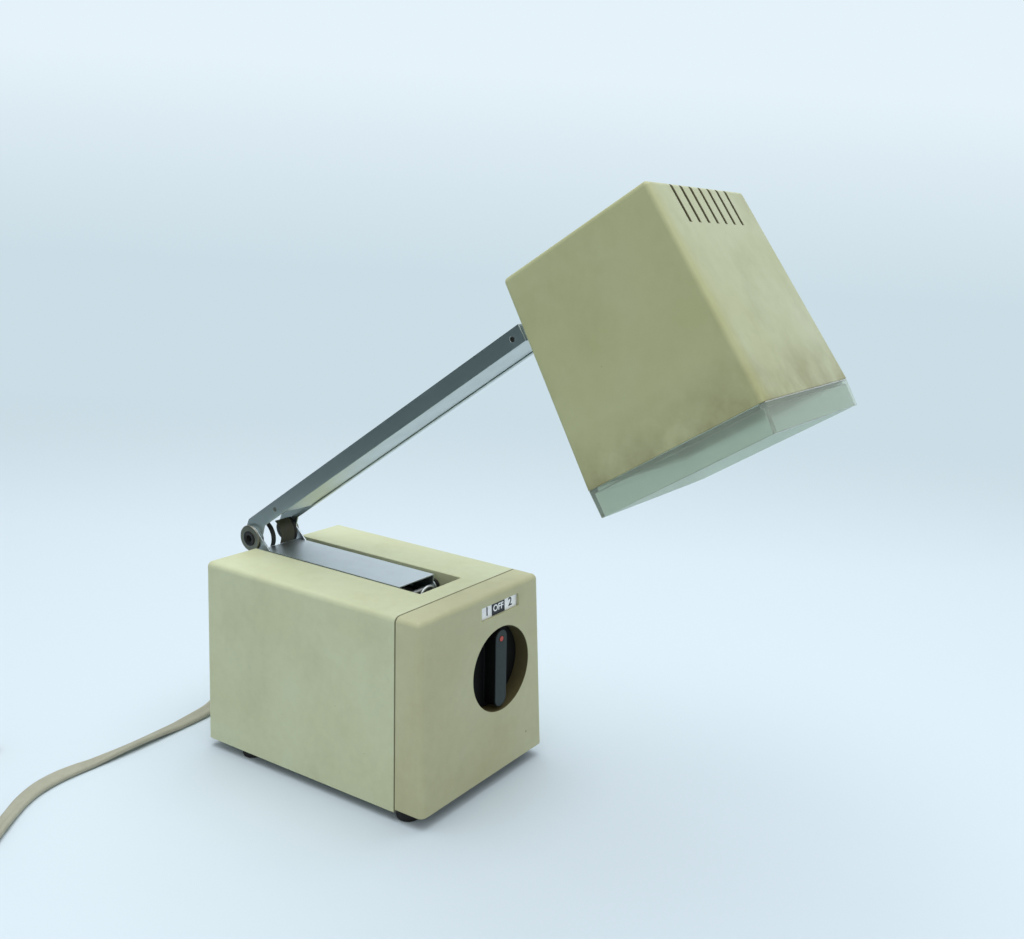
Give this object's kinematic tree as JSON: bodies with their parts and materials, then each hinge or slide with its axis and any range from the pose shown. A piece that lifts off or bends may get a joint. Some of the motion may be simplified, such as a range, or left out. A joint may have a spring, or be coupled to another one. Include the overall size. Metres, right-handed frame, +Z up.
{
  "type": "telescopic table lamp",
  "caption": "Low-voltage table lamp: a boxy base with a rotary switch, a folding telescopic arm that stows in the base's top, and a tilting box shade with a clear skirt.",
  "frame": {"origin": "centre of the base's footprint, on the surface that the rubber feet stand on", "axes": "+X from the rear of the base towards the knob face, along which the arm reaches; +Y across the base, to the left of someone who faces along +X; +Z up"},
  "size_m": [0.3964, 0.2959, 0.2843],
  "materials": {
    "housing_plastic": "aged cream moulded plastic, fine texture",
    "cover_plastic": "aged cream moulded plastic, smooth",
    "shade_plastic": "aged darker cream moulded plastic",
    "clear_plastic": "clear moulded plastic, faintly green",
    "arm_metal": "brushed, aged",
    "rivet_metal": "worn bright metal",
    "screw_steel": "zinc plated",
    "plate_steel": "grey painted sheet",
    "black_steel": "black painted sheet",
    "core_steel": "varnished steel laminations",
    "winding": "taped copper winding",
    "cream_fittings": "moulded insulating plastic",
    "dark_plastic": "black moulded plastic",
    "grip_plastic": "black moulded plastic, lightly polished",
    "red_paint": "red pointer",
    "label_white": "printed plate",
    "rubber": "black rubber",
    "brass": "tarnished",
    "bulb_glass": "clear bulb glass",
    "cord_plastic": "soft cream cord sheath",
    "strip_brown": "dark olive insulating strip"
  },
  "bodies": {
    "base": {"main_housing": "housing_plastic", "front_cover": "cover_plastic", "bottom_plate": "plate_steel", "rubber_feet": "rubber", "foot_screws": "screw_steel", "bottom_screws": "screw_steel", "slot_trough": "black_steel", "trough_screws": "screw_steel", "arm_pivot_pin": "screw_steel", "slot_wire": "screw_steel", "transformer_core": "core_steel", "coil_bobbin": "cream_fittings", "transformer_windings": "winding", "clamp_frame": "plate_steel", "frame_screws": "screw_steel", "rotary_switch": "dark_plastic", "switch_screws": "screw_steel", "terminal_block": "cream_fittings", "terminal_screws": "brass", "inner_lead": "cord_plastic", "cord_clamp": "cream_fittings", "clamp_screws": "screw_steel", "label_plate": "label_white", "cord_bushing": "rubber", "cord_run": "cord_plastic", "cord_coil": "cord_plastic", "cord_tail": "cord_plastic", "coil_tie": "rubber", "plug_body": "cord_plastic", "plug_pins": "brass"},
    "knob": {"switch_knob": "grip_plastic", "pointer_dot": "red_paint", "switch_shaft": "screw_steel"},
    "lower_arm": {"lower_channel": "arm_metal", "elbow_rivets": "rivet_metal", "elbow_washers": "black_steel", "narrow_strip": "black_steel", "guard_strip": "strip_brown", "strip_sleeve": "dark_plastic"},
    "outer_arm": {"outer_channel": "arm_metal", "arm_dimples": "arm_metal"},
    "inner_arm": {"inner_channel": "arm_metal", "slide_block": "cream_fittings", "head_pin": "rivet_metal"},
    "head": {"shade_shell": "shade_plastic", "clear_skirt": "clear_plastic", "head_bracket": "black_steel", "bracket_rivets": "rivet_metal", "socket_bridge": "screw_steel", "bridge_screws": "screw_steel", "lamp_socket": "brass", "socket_contact": "cream_fittings", "bulb_globe": "bulb_glass", "bulb_cap": "brass"}
  },
  "joints": [
    {"name": "lower_arm_swing", "type": "hinge", "parent": "base", "child": "lower_arm", "pos_m": [0.0268, 0, 0.0924], "axis": [0, 1, 0], "range_deg": [0, 95]},
    {"name": "elbow", "type": "hinge", "parent": "lower_arm", "child": "outer_arm", "pos_m": [-0.0725, 0, 0.1035], "axis": [0, -1, 0], "range_deg": [-34.2, 110]},
    {"name": "telescope", "type": "slide", "parent": "outer_arm", "child": "inner_arm", "axis": [0.8271, 0, 0.5621], "range_m": [0, 0.1]},
    {"name": "head_tilt", "type": "hinge", "parent": "inner_arm", "child": "head", "pos_m": [0.11128, 0, 0.22839], "axis": [0, -1, 0], "range_deg": [-85.85, 75]},
    {"name": "switch_turn", "type": "hinge", "parent": "base", "child": "knob", "pos_m": [0.066, 0.013, 0.0596], "axis": [1, 0, 0], "range_deg": [-45, 45]}
  ]
}
